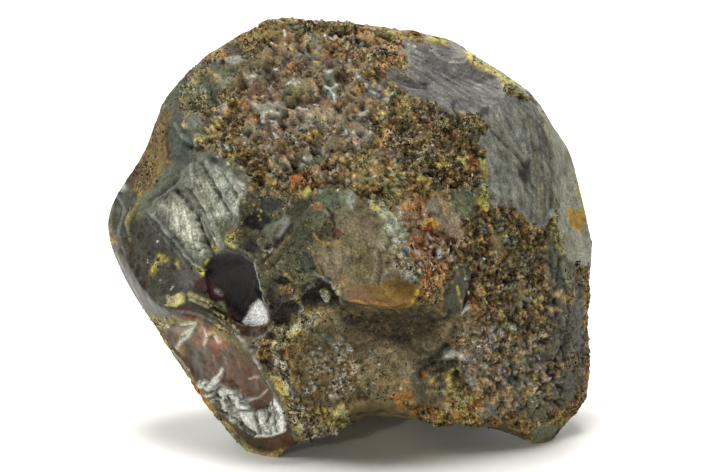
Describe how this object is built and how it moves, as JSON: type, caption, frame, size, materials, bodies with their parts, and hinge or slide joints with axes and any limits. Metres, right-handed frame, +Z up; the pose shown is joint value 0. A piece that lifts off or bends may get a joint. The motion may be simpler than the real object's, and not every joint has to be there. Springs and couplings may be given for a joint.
{
  "type": "raw amber piece",
  "caption": "Hand-sized raw lump of dark amber: rough brown crust, broken glassy facets and a see-through window at one corner; stands on three worn tips.",
  "frame": {"origin": "centre of the bounding box in X and Y, on the surface that the lump stands on", "axes": "+Z up as it stands, +X to the right along its longest side, +Y away from the window side"},
  "size_m": [0.0974, 0.0656, 0.0799],
  "materials": {
    "amber": "dark fossil resin, glassy where it is broken and see-through in clear places",
    "crust": "weathered brown skin with ochre and rust crumbs, rough, with small sparkling grains"
  },
  "bodies": {
    "root": {"raw_amber": "amber"}
  },
  "joints": []
}
